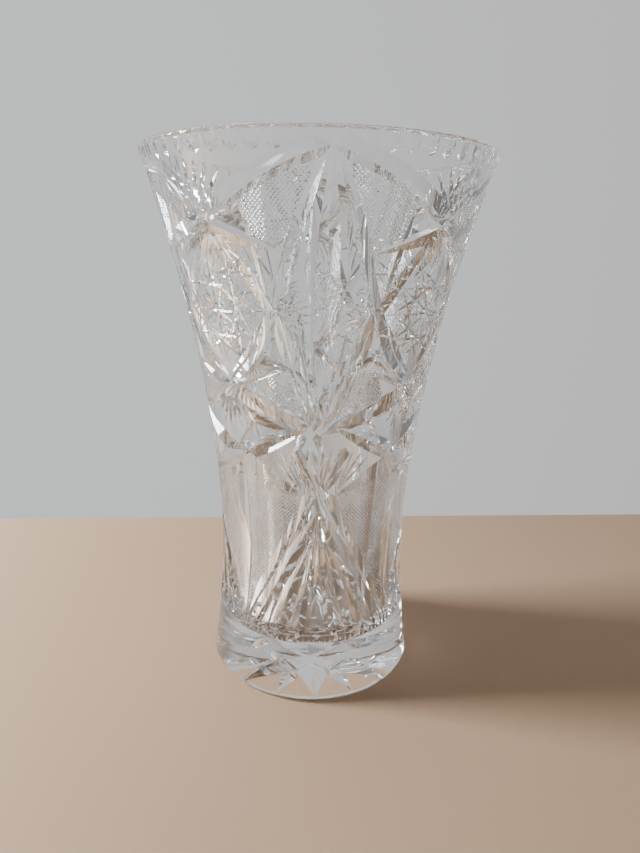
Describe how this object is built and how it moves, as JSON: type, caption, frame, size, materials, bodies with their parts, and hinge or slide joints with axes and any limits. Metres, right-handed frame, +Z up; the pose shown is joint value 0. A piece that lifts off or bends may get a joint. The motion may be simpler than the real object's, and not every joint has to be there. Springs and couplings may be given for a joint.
{
  "type": "cut crystal flower vase",
  "caption": "Tall flared vase of clear cut glass with a waist, a thick foot, and mitre cuts round the wall; holds stems and water.",
  "frame": {"origin": "centre of the flat standing face under the foot", "axes": "+Z up along the turned axis; the middle of one cut panel faces -Y"},
  "size_m": [0.1586, 0.1586, 0.25],
  "materials": {
    "crystal_glass": "polished clear lead crystal with bright mitre cuts and fine crosshatched fields"
  },
  "bodies": {
    "root": {"vase_body": "crystal_glass"}
  },
  "joints": []
}
